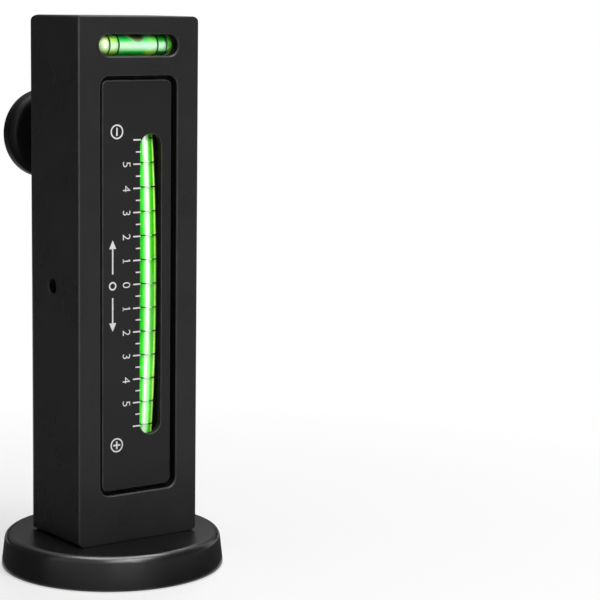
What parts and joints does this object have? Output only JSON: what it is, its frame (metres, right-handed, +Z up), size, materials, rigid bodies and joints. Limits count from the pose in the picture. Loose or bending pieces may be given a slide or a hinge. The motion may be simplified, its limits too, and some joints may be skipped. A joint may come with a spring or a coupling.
{
  "type": "camber caster gauge",
  "caption": "Upright rectangular wheel alignment gauge with bent spirit vials, a cross level and a rear zeroing knob, standing on a round rubber-coated magnet.",
  "frame": {"origin": "middle of the magnet's lower face, which rests on the wheel hub or a table", "axes": "+Z up the block away from the magnet, -Y out of the face with the camber scale, +Y towards the zeroing knob, +X to the right seen from the scale side"},
  "size_m": [0.0658, 0.0759, 0.162],
  "materials": {
    "black_aluminium": "satin black anodised",
    "scale_plate": "matt black with white marks",
    "vial_acrylic": "clear",
    "vial_fluid": "bright green liquid",
    "bubble": "air",
    "plug": "moulded",
    "ring_black": "printed black",
    "bed_white": "cast resin",
    "carrier": "satin black anodised",
    "steel": "zinc plated",
    "spring_steel": "drawn wire",
    "brass": "turned",
    "nylon": "moulded",
    "knob_plastic": "semi-gloss black",
    "rubber": "smooth moulded",
    "nickel": "nickel plated"
  },
  "bodies": {
    "block": {"housing": "black_aluminium", "camber_scale_plate": "scale_plate", "camber_vial_tube": "vial_acrylic", "camber_vial_fluid": "vial_fluid", "camber_vial_plugs": "plug", "camber_vial_rings": "ring_black", "camber_vial_bed": "bed_white", "level_vial_tube": "vial_acrylic", "level_vial_fluid": "vial_fluid", "level_vial_rings": "ring_black", "level_vial_bed": "bed_white", "pivot_pin": "steel", "adjuster_bush": "brass", "return_spring": "spring_steel", "knob_spring": "spring_steel", "magnet_jacket": "rubber", "magnet_discs": "nickel", "magnet_yoke": "steel", "magnet_bush": "steel", "base_stud": "steel"},
    "carrier": {"caster_carrier": "carrier", "caster_vial_tube": "vial_acrylic", "caster_vial_fluid": "vial_fluid", "caster_vial_plugs": "plug", "caster_vial_rings": "ring_black", "caster_vial_bed": "bed_white"},
    "pad": {"thrust_pad": "nylon"},
    "knob": {"caster_knob": "knob_plastic", "adjuster_screw": "steel"},
    "camber_bubble": {"camber_vial_bubble": "bubble"},
    "level_bubble": {"level_vial_bubble": "bubble"},
    "caster_bubble": {"caster_vial_bubble": "bubble"}
  },
  "joints": [
    {"name": "pad_slide", "type": "slide", "parent": "block", "child": "pad", "axis": [0, -1, 0], "range_m": [-0.0016, 0.0016], "deforming": ["knob_spring"]},
    {"name": "knob_turn", "type": "hinge", "parent": "pad", "child": "knob", "pos_m": [0, 0.016, 0.1258], "axis": [0, -1, 0], "range_deg": [-720, 720]},
    {"name": "carrier_tilt", "type": "hinge", "parent": "block", "child": "carrier", "pos_m": [0, 0.0006, 0.0845], "axis": [1, 0, 0], "range_deg": [-2.23, 2.23], "deforming": ["return_spring"]},
    {"name": "camber_bubble_run", "type": "hinge", "parent": "block", "child": "camber_bubble", "pos_m": [0.0047, 0.3873, 0.0853], "axis": [1, 0, 0], "range_deg": [0, 13.3]},
    {"name": "level_bubble_run", "type": "slide", "parent": "block", "child": "level_bubble", "axis": [1, 0, 0], "range_m": [-0.006, 0.006], "stiffness_N_per_m": 0.5},
    {"name": "caster_bubble_run", "type": "hinge", "parent": "carrier", "child": "caster_bubble", "pos_m": [0, -0.2526, 0.053], "axis": [-1, 0, 0], "range_deg": [0, 9.38]}
  ],
  "couplings": [
    {"joint": "knob_turn", "follows": "pad_slide", "rad_per_m": 7854},
    {"joint": "carrier_tilt", "follows": "pad_slide", "rad_per_m": 24.213}
  ]
}
